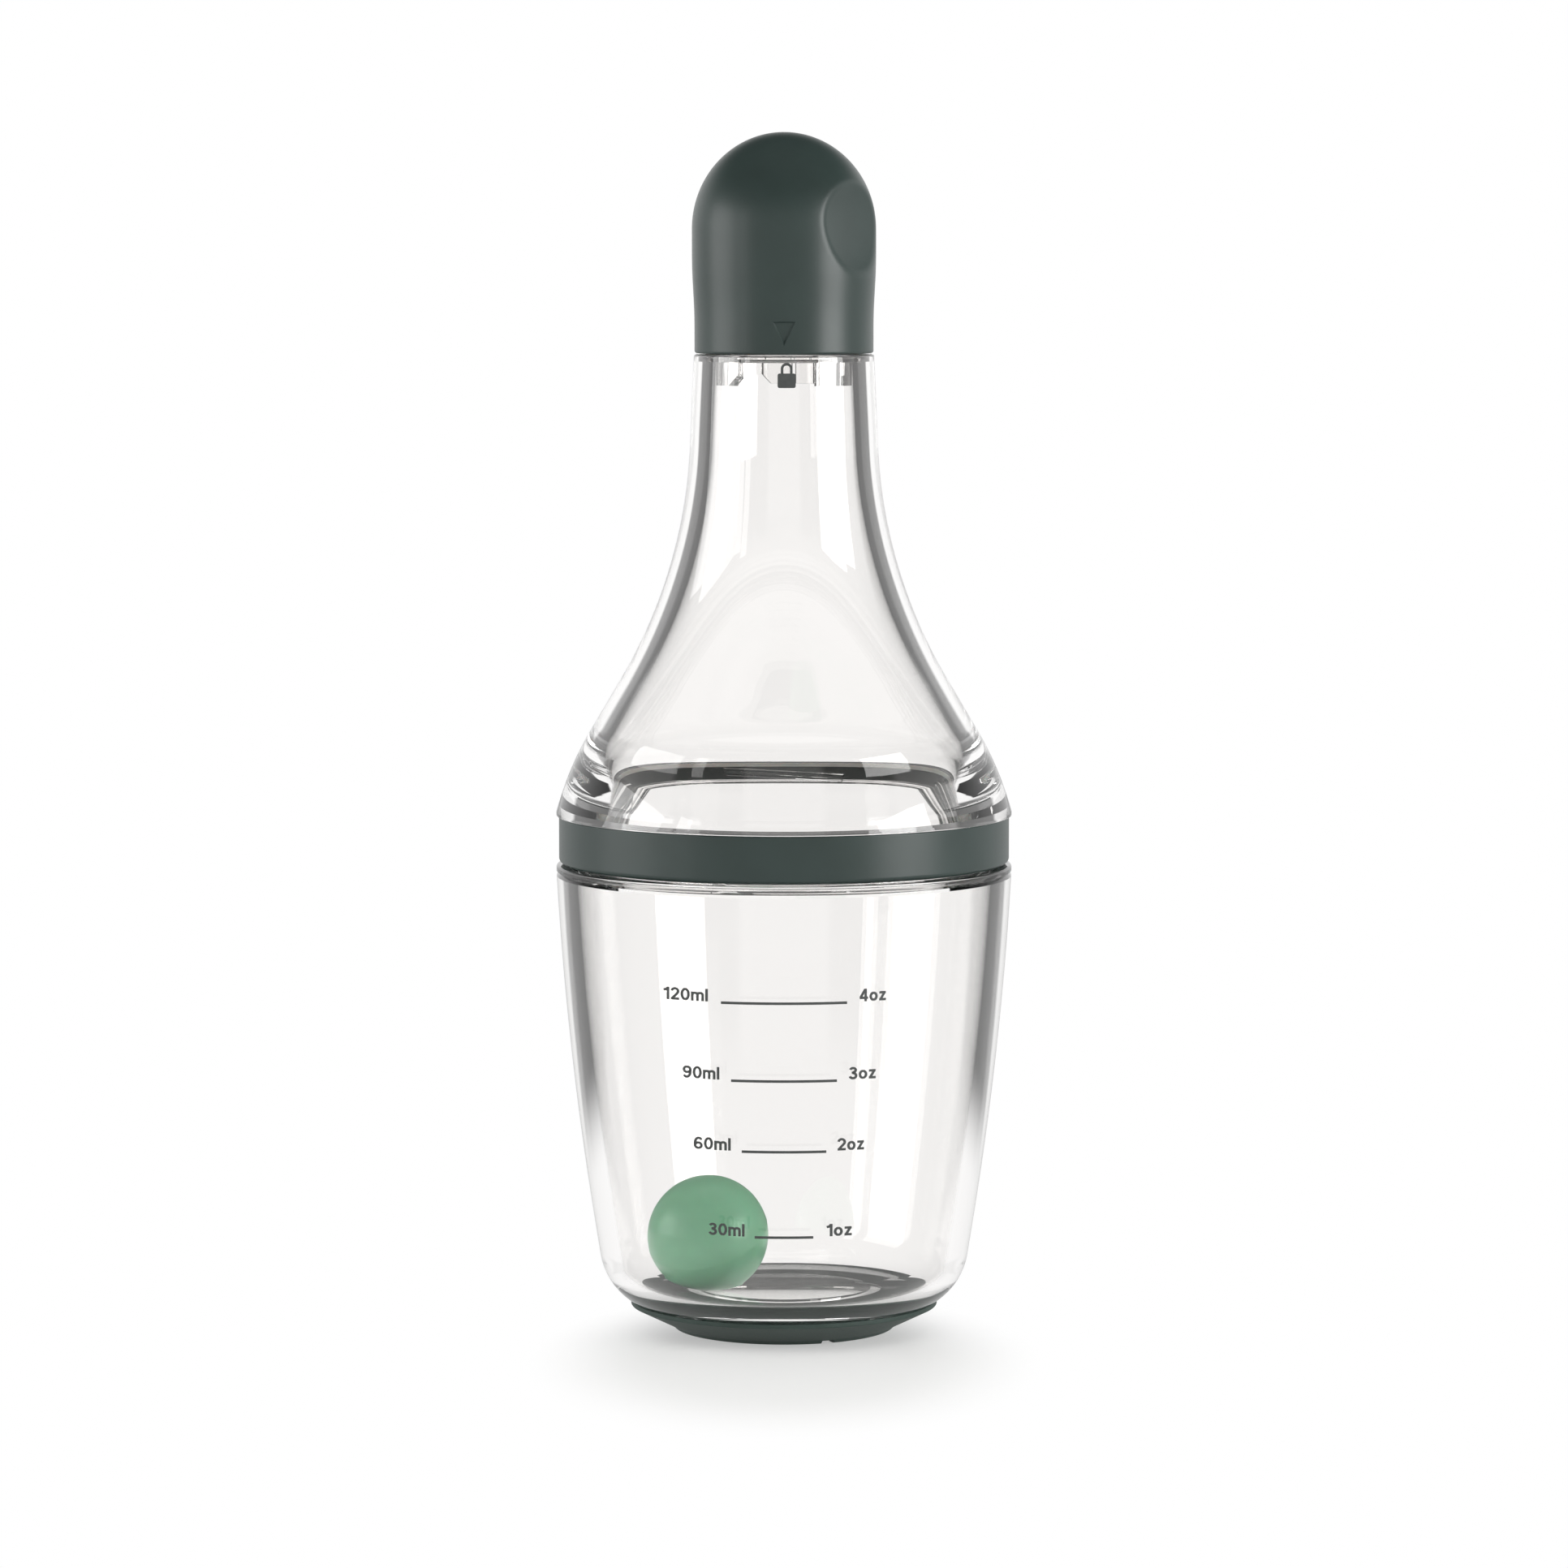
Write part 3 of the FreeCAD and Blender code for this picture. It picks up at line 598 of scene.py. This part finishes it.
def layOnWall(piece, wall):
    bpy.ops.object.select_all(action="DESELECT")
    bpy.context.view_layer.objects.active = piece
    piece.select_set(True)
    bpy.ops.object.modifier_add(type="SHRINKWRAP")
    wrap = piece.modifiers[-1]
    wrap.wrap_method = "PROJECT"
    wrap.wrap_mode = "ABOVE_SURFACE"
    wrap.use_project_y = True
    wrap.use_positive_direction = True
    wrap.use_negative_direction = False
    wrap.target = wall
    wrap.offset = printLook["clearMm"] * mm
    bpy.ops.object.modifier_apply(modifier=wrap.name)
    bpy.ops.object.modifier_add(type="SOLIDIFY")
    film = piece.modifiers[-1]
    film.thickness = printLook["filmMm"] * mm
    film.offset = 1.0
    bpy.ops.object.modifier_apply(modifier=film.name)


# a flat shape of print, cut into upright strips that bend with the wall
def printShape(name, corners, strip):
    shape = drawOutline(name, corners)
    low = min(p[0] for p in corners)
    high = max(p[0] for p in corners)
    bpy.ops.object.mode_set(mode="EDIT")
    bpy.ops.mesh.select_all(action="SELECT")
    bpy.ops.mesh.edge_face_add()
    for k in range(1, math.ceil((high - low) / strip)):
        bpy.ops.mesh.select_all(action="SELECT")
        bpy.ops.mesh.bisect(plane_co=((low + k * strip) * mm, 0, 0), plane_no=(1, 0, 0))
    bpy.ops.mesh.select_all(action="SELECT")
    bpy.ops.transform.translate(value=(0, printLook["startY"] * mm, 0))
    bpy.ops.object.mode_set(mode="OBJECT")
    return shape


# part of an oval, from one angle to another
def bend(x, z, width, height, start, stop):
    turns = [math.radians(start + (stop - start) * k / penLook["arcSteps"]) for k in range(penLook["arcSteps"] + 1)]
    return [(x + width * math.cos(a), z + height * math.sin(a)) for a in turns]


# a pen stroke of even weight along a line of points
def penStroke(points, weight):
    points = [Vector(p) for p in points]
    sides = []
    for i, point in enumerate(points):
        before = (point - points[i - 1]).normalized() if i else (points[1] - point).normalized()
        after = (points[i + 1] - point).normalized() if i + 1 < len(points) else before
        along = (before + after).normalized()
        across = Vector((-along.y, along.x)) * (weight / 2 / max(along.dot(before), penLook["sharpest"]))
        sides.append((point + across, point - across))
    outline = [s[0] for s in sides] + [s[1] for s in reversed(sides)]
    return outline + outline[:1]


# plain upright figures and letters on a height of one, each with its width and its strokes
penLook = {"height": 1.93, "weight": 0.19, "gap": 0.08, "raise": 0.09, "sharpest": 0.5, "arcSteps": 14}
pen = penLook["weight"] / 2
tallOval = [bend(0.33, 0.5, 0.235, 0.5 - pen, 90, 270), bend(0.33, 0.5, 0.235, 0.5 - pen, 270, 450)]
lowOval = [bend(0.31, 0.37, 0.215, 0.37 - pen, 90, 270), bend(0.31, 0.37, 0.215, 0.37 - pen, 270, 450)]
loop = [bend(0.33, 0.31, 0.235, 0.31 - pen, 90, 270), bend(0.33, 0.31, 0.235, 0.31 - pen, 270, 450)]
hook = bend(0.36, 0.5, 0.265, 0.5 - pen, 38, 180) + [(pen, 0.31)]
arches = [bend(x + 0.1825, 0.5, 0.1825, 0.24 - pen, 180, 0) + [(x + 0.365, 0)] for x in (pen, pen + 0.365)]
penShapes = {
    "0": (0.66, tallOval),
    "1": (0.46, [[(0.365, 0), (0.365, 1)], [(0.06, 0.755), (0.22, 0.79), (0.31, 0.86), (0.35, 0.98)]]),
    "2": (0.64, [bend(0.32, 0.68, 0.225, 0.32 - pen, 172, -38) + [(0.14, pen + 0.03)],
                 [(0.03, pen), (0.62, pen)]]),
    "3": (0.64, [bend(0.31, 0.735, 0.195, 0.265 - pen, 165, -90), bend(0.31, 0.3, 0.225, 0.3 - pen, 90, -168),
                 [(0.22, 0.535), (0.34, 0.535)]]),
    "4": (0.66, [[(0.44, 0.96), (0.08, 0.3)], [(0.02, 0.28), (0.64, 0.28)], [(0.46, 0), (0.46, 1)]]),
    "6": (0.66, loop + [hook]),
    "9": (0.66, [[(0.66 - x, 1 - z) for x, z in stroke] for stroke in loop + [hook]]),
    "m": (0.93, arches + [[(pen, 0), (pen, 0.74)]]),
    "l": (0.19, [[(pen, 0), (pen, 1)]]),
    "o": (0.62, lowOval),
    "z": (0.56, [[(0.04, 0.74 - pen), (0.52, 0.74 - pen)], [(0.44, 0.68), (0.11, 0.06)],
                 [(0.03, pen), (0.53, pen)]])}


# a word of the scale between its two ends, in front of the bottle
def printWord(text, left, right, level):
    length = sum(penShapes[c][0] for c in text) + penLook["gap"] * (len(text) - 1)
    stretch = (right - left) / length
    shapes = []
    start = 0.0
    for letter in text:
        width, strokes = penShapes[letter]
        for stroke in strokes:
            outline = penStroke([(start + x, z) for x, z in stroke], penLook["weight"])
            corners = [(left + p.x * stretch, level + p.y * penLook["height"]) for p in outline]
            shapes.append(printShape("stroke", corners, right - left))
        start += width + penLook["gap"]
    return shapes


# a line of the scale, cut fine enough to bend with the wall
def printLine(half, level, thickness):
    bpy.ops.object.select_all(action="DESELECT")
    bpy.ops.mesh.primitive_plane_add(size=mm, location=(0, printLook["startY"] * mm, level * mm),
                                     rotation=(math.pi / 2, 0, 0))
    line = bpy.context.object
    line.scale = (half * 2, thickness, 1)
    bpy.ops.object.transform_apply(location=True, rotation=True, scale=True)
    bpy.ops.object.mode_set(mode="EDIT")
    bpy.ops.mesh.select_all(action="SELECT")
    bpy.ops.mesh.subdivide(number_cuts=scaleLook["cuts"])
    bpy.ops.object.mode_set(mode="OBJECT")
    return line


# shapes of print made one piece
def joinPrints(prints):
    bpy.ops.object.select_all(action="DESELECT")
    for piece in prints:
        piece.select_set(True)
    bpy.context.view_layer.objects.active = prints[0]
    bpy.ops.object.join()
    return prints[0]


# the scale: each mark's level and half length, and its words with their left and right ends
scaleLook = {"line": 0.4, "cuts": 40, "marks": [
    {"level": 54.8, "half": 9.45, "left": ("120ml", -18.2, -11.4), "right": ("4oz", 11.3, 15.35)},
    {"level": 42.9, "half": 7.94, "left": ("90ml", -15.25, -9.7), "right": ("3oz", 9.7, 13.85)},
    {"level": 32.0, "half": 6.36, "left": ("60ml", -13.6, -8.0), "right": ("2oz", 8.0, 12.1)},
    {"level": 18.7, "half": 4.42, "left": ("30ml", -11.4, -5.95), "right": ("1oz", 6.3, 10.3)}]}
for mark in scaleLook["marks"]:
    prints = [printLine(mark["half"], mark["level"], scaleLook["line"])]
    for side in ("left", "right"):
        text, left, right = mark[side]
        prints += printWord(text, left, right, mark["level"] + penLook["raise"])
    markPiece = joinPrints(prints)
    markPiece.name = "scaleMark" + mark["left"][0]
    layOnWall(markPiece, cupPiece)
    placePiece(markPiece, printInk, "green_plastic", "cup_body")
print("volume scale")


# the sign on the neck, a closed padlock over the shut position
lockLook = {"place": (0.4, 146.2), "body": (2.75, 2.2), "corner": 0.3, "shackle": (1.8, 0.4, 3.8), "strip": 0.25,
            "cornerStep": 15, "archSteps": 12}
lockX, lockZ = lockLook["place"]
side, tall = lockLook["body"][0] / 2, lockLook["body"][1]
span, bar, total = lockLook["shackle"]
plateStart = [(lockX, lockZ)]
plateCorners = [(lockX + side, lockZ), (lockX + side, lockZ + tall), (lockX - side, lockZ + tall),
                (lockX - side, lockZ)]
plateCorners = [corner + (lockLook["corner"],) for corner in plateCorners]
plate = roundedOutline(plateStart + plateCorners + plateStart, arcStep=lockLook["cornerStep"])
archLevel, archFoot = lockZ + total - span / 2, lockZ + tall - bar / 2
turns = [math.pi * k / lockLook["archSteps"] for k in range(lockLook["archSteps"] + 1)]
arch = []
for radius, order in ((span / 2, turns), (span / 2 - bar, turns[::-1])):
    curve = [(lockX + radius * math.cos(a), archLevel + radius * math.sin(a)) for a in order]
    arch += [(curve[0][0], archFoot)] + curve + [(curve[-1][0], archFoot)]
lockPiece = joinPrints([printShape("lockSign", plate, lockLook["strip"]),
                        printShape("shackle", arch + arch[:1], lockLook["strip"])])
layOnWall(lockPiece, bodyPiece)
placePiece(lockPiece, printInk, "green_plastic", "bottle_top")
print("lock sign")


# floor and world: white to the eye, with a soft shadow. Painted shade stands for dark cards between the four sides of
# the studio: darker sectors of the floor and the world, shown only to light that has turned inside a clear wall, draw
# the dark lines along its edges. Light that bounces about between the walls sees a painted dim room.
stageLook = {"floor": "#cbcbc9", "floorLift": 0.37, "shadow": (0.0, -0.030), "shadowHalf": (0.040, 0.062),
             "fadeFrom": 0.45, "fadeTo": 1.0, "floorSize": 6.0, "ambient": 0.55, "front": 0.66, "back": 1.0,
             "ceiling": 0.02, "card": 0.86, "cardFrom": 20.0, "cardTo": 26.0, "cardStart": 0.12, "cardFull": 0.22,
             "cardRise": (0.25, 0.4), "room": 0.12, "paintedLightUnderBase": 0.9, "underSoft": 0.001, "backRise": (0.2, 0.7),
             "ceilingRise": (0.2, 0.6)}


# the painted shade of the dark cards and the dim room, for light that comes through the clear walls
def paintedCardShade(tree, path, direction):
    split = addNode(tree, "ShaderNodeSeparateXYZ", {}, {}, {0: direction})
    around = addNode(tree, "ShaderNodeMath", {"operation": "ARCTAN2"}, {},
                     {0: split.outputs["X"], 1: split.outputs["Y"]})
    swing = addNode(tree, "ShaderNodeMath", {"operation": "PINGPONG"}, {1: math.pi / 4}, {0: around.outputs[0]})
    card = addNode(tree, "ShaderNodeMapRange", {"interpolation_type": "SMOOTHSTEP"},
                   {"From Min": math.radians(stageLook["cardFrom"]), "From Max": math.radians(stageLook["cardTo"]),
                    "To Max": stageLook["card"]}, {"Value": swing.outputs[0]})
    rise = addNode(tree, "ShaderNodeMath", {"operation": "ABSOLUTE"}, {}, {0: split.outputs["Z"]})
    low = addNode(tree, "ShaderNodeMapRange", {"interpolation_type": "SMOOTHSTEP"},
                  {"From Min": stageLook["cardRise"][0], "From Max": stageLook["cardRise"][1],
                   "To Min": 1.0, "To Max": 0.0}, {"Value": rise.outputs[0]})
    card = addNode(tree, "ShaderNodeMath", {"operation": "MULTIPLY"}, {},
                   {0: card.outputs[0], 1: low.outputs[0]})
    # more than one wall's two faces, and at least one mirroring
    several = addNode(tree, "ShaderNodeMath", {"operation": "GREATER_THAN"}, {1: 2.5},
                      {0: path.outputs["Transmission Depth"]})
    turned = addNode(tree, "ShaderNodeMath", {"operation": "GREATER_THAN"}, {1: 0.5},
                     {0: path.outputs["Glossy Depth"]})
    room = addNode(tree, "ShaderNodeMath", {"operation": "MULTIPLY"}, {1: 1 - stageLook["room"]},
                   {0: turned.outputs[0]})
    share = addNode(tree, "ShaderNodeMix", {"data_type": "FLOAT"}, {},
                    {0: several.outputs[0], 2: card.outputs[0], 3: room.outputs[0]})
    straight = addNode(tree, "ShaderNodeMath", {"operation": "LESS_THAN"}, {1: 0.5},
                       {0: path.outputs["Diffuse Depth"]})
    clear = addNode(tree, "ShaderNodeMath", {"operation": "MULTIPLY"}, {},
                    {0: straight.outputs[0], 1: path.outputs["Is Transmission Ray"]})
    return addNode(tree, "ShaderNodeMath", {"operation": "MULTIPLY"}, {},
                   {0: share.outputs[0], 1: clear.outputs[0]})


bpy.ops.object.select_all(action="DESELECT")
bpy.ops.mesh.primitive_plane_add(size=stageLook["floorSize"], location=(0, 0, 0))
floor = bpy.context.object
floor.name = "studioFloor"
floorPaint, tree = newMaterial("paleFloor")
place = addNode(tree, "ShaderNodeTexCoord")
reach = addNode(tree, "ShaderNodeVectorMath", {"operation": "LENGTH"}, {}, {0: place.outputs["Object"]})
shadow = addNode(tree, "ShaderNodeMapping", {"vector_type": "TEXTURE"},
                 {"Location": stageLook["shadow"] + (0.0,), "Scale": stageLook["shadowHalf"] + (1.0,)},
                 {"Vector": place.outputs["Object"]})
oval = addNode(tree, "ShaderNodeVectorMath", {"operation": "LENGTH"}, {}, {0: shadow.outputs[0]})
fade = addNode(tree, "ShaderNodeMapRange", {"interpolation_type": "SMOOTHSTEP"},
               {"From Min": stageLook["fadeFrom"], "From Max": stageLook["fadeTo"]}, {"Value": oval.outputs["Value"]})
path = addNode(tree, "ShaderNodeLightPath")
seen = addNode(tree, "ShaderNodeMath", {"operation": "MAXIMUM"}, {},
               {0: path.outputs["Is Camera Ray"], 1: path.outputs["Is Transmission Ray"]})
seen = addNode(tree, "ShaderNodeMath", {"operation": "MAXIMUM"}, {},
               {0: seen.outputs[0], 1: path.outputs["Is Glossy Ray"]})
# painted light: the table inside the foot ring glows brighter, standing for light that falls through the clear base
under = addNode(tree, "ShaderNodeMapRange", {"interpolation_type": "SMOOTHSTEP"},
                {"From Min": bossBore * mm - stageLook["underSoft"], "From Max": bossBore * mm,
                 "To Min": stageLook["paintedLightUnderBase"], "To Max": stageLook["floorLift"]},
                {"Value": reach.outputs["Value"]})
lift = addNode(tree, "ShaderNodeMath", {"operation": "MULTIPLY"}, {},
               {0: seen.outputs[0], 1: under.outputs["Result"]})
paint = addNode(tree, "ShaderNodeBsdfDiffuse", {}, {"Color": linearColour(stageLook["floor"])})
glow = addNode(tree, "ShaderNodeEmission", {}, {"Color": (1, 1, 1, 1)}, {"Strength": lift.outputs[0]})
lifted = addNode(tree, "ShaderNodeAddShader", {}, {}, {0: paint.outputs[0], 1: glow.outputs[0]})
mirrored = addNode(tree, "ShaderNodeMapRange", {}, {"To Min": 1.0, "To Max": stageLook["front"]},
                   {"Value": path.outputs["Is Reflection Ray"]})
white = addNode(tree, "ShaderNodeEmission", {}, {"Color": (1, 1, 1, 1)}, {"Strength": mirrored.outputs[0]})
far = addNode(tree, "ShaderNodeMath", {"operation": "MULTIPLY"}, {}, {0: fade.outputs["Result"], 1: seen.outputs[0]})
whole = addNode(tree, "ShaderNodeMixShader", {}, {}, {0: far.outputs[0], 1: lifted.outputs[0], 2: white.outputs[0]})
clearing = addNode(tree, "ShaderNodeMapRange", {"interpolation_type": "SMOOTHSTEP"},
                   {"From Min": stageLook["cardStart"], "From Max": stageLook["cardFull"]},
                   {"Value": reach.outputs["Value"]})
# painted shade: dark card sectors on the floor, seen only through the clear walls
dark = paintedCardShade(tree, path, place.outputs["Object"])
dark = addNode(tree, "ShaderNodeMath", {"operation": "MULTIPLY"}, {}, {0: dark.outputs[0], 1: clearing.outputs[0]})
black = addNode(tree, "ShaderNodeEmission", {}, {"Strength": 0.0})
whole = addNode(tree, "ShaderNodeMixShader", {}, {}, {0: dark.outputs[0], 1: whole.outputs[0], 2: black.outputs[0]})
addNode(tree, "ShaderNodeOutputMaterial", {}, {}, {"Surface": whole.outputs[0]})
floor.data.materials.append(floorPaint)

world = bpy.data.worlds.new("studio")
scene.world = world
world.use_nodes = True
tree = world.node_tree
tree.nodes.clear()
path = addNode(tree, "ShaderNodeLightPath")
place = addNode(tree, "ShaderNodeTexCoord")
split = addNode(tree, "ShaderNodeSeparateXYZ", {}, {}, {0: place.outputs["Generated"]})
backdrop = addNode(tree, "ShaderNodeMapRange", {"interpolation_type": "SMOOTHSTEP"},
                   {"From Min": stageLook["backRise"][0], "From Max": stageLook["backRise"][1],
                    "To Min": stageLook["front"], "To Max": stageLook["back"]},
                   {"Value": split.outputs["Y"]})
overhead = addNode(tree, "ShaderNodeMapRange", {"interpolation_type": "SMOOTHSTEP"},
                   {"From Min": stageLook["ceilingRise"][0], "From Max": stageLook["ceilingRise"][1],
                    "To Max": stageLook["ceiling"]},
                   {"Value": split.outputs["Z"], "To Min": backdrop.outputs["Result"]})
# plain light for matt surfaces, then what reflections see, then white for the eye, through clear walls too
seen = addNode(tree, "ShaderNodeMath", {"operation": "MAXIMUM"}, {},
               {0: path.outputs["Is Camera Ray"], 1: path.outputs["Is Transmission Ray"]})
# painted shade: dark card sectors and a dim room in the world, seen only through the clear walls
dark = paintedCardShade(tree, path, place.outputs["Generated"])
bright = addNode(tree, "ShaderNodeMath", {"operation": "SUBTRACT"}, {0: 1.0}, {1: dark.outputs[0]})
level = addNode(tree, "ShaderNodeMix", {"data_type": "FLOAT"}, {2: stageLook["ambient"]},
                {0: path.outputs["Is Glossy Ray"], 3: overhead.outputs["Result"]})
level = addNode(tree, "ShaderNodeMix", {"data_type": "FLOAT"}, {},
                {0: seen.outputs[0], 2: level.outputs[0], 3: bright.outputs[0]})
sky = addNode(tree, "ShaderNodeBackground", {}, {"Color": (1, 1, 1, 1)}, {"Strength": level.outputs[0]})
addNode(tree, "ShaderNodeOutputWorld", {}, {}, {"Surface": sky.outputs[0]})


# tall soft boxes either side, which the satin cap and the clear walls show as strips
lampLook = {"left": {"place": (-0.80, -0.085, 0.14), "size": (0.53, 0.60), "watts": 2.65},
            "leftStrip": {"place": (-0.62, -0.48, 0.14), "size": (0.10, 0.60), "watts": 0.5},
            "right": {"place": (0.72, -0.345, 0.14), "size": (0.44, 0.60), "watts": 4.8},
            "top": {"place": (0.0, 0.10, 0.85), "size": (0.6, 0.5), "watts": 1.0}}
lampAim = Vector((0, 0, 0.1))
for name, look in lampLook.items():
    bpy.ops.object.light_add(type="AREA", location=look["place"])
    lamp = bpy.context.object
    lamp.name = name + "SoftBox"
    lamp.data.shape = "RECTANGLE"
    lamp.data.size, lamp.data.size_y = look["size"]
    lamp.data.energy = look["watts"]
    aim = lampAim - Vector(look["place"])
    lamp.rotation_euler = aim.to_track_quat("-Z", "Y").to_euler()
    lamp.visible_camera = False
    lamp.visible_glossy = name != "top"
print("stage and lamps")


# the photograph's view: a long lens a little above the middle of the bottle
cameraLook = {"distance": 0.9466, "aimHeight": 0.0847, "pitch": 5.2, "fieldOfView": 14.6}
pitch = math.radians(cameraLook["pitch"])
eye = Vector((0, -cameraLook["distance"] * math.cos(pitch),
              cameraLook["aimHeight"] + cameraLook["distance"] * math.sin(pitch)))
bpy.ops.object.camera_add(location=eye, rotation=(math.pi / 2 - pitch, 0, 0))
camera = bpy.context.object
camera.data.sensor_width = 36
camera.data.angle = math.radians(cameraLook["fieldOfView"])
camera.data.clip_start = 0.01
scene.camera = camera
print("camera")
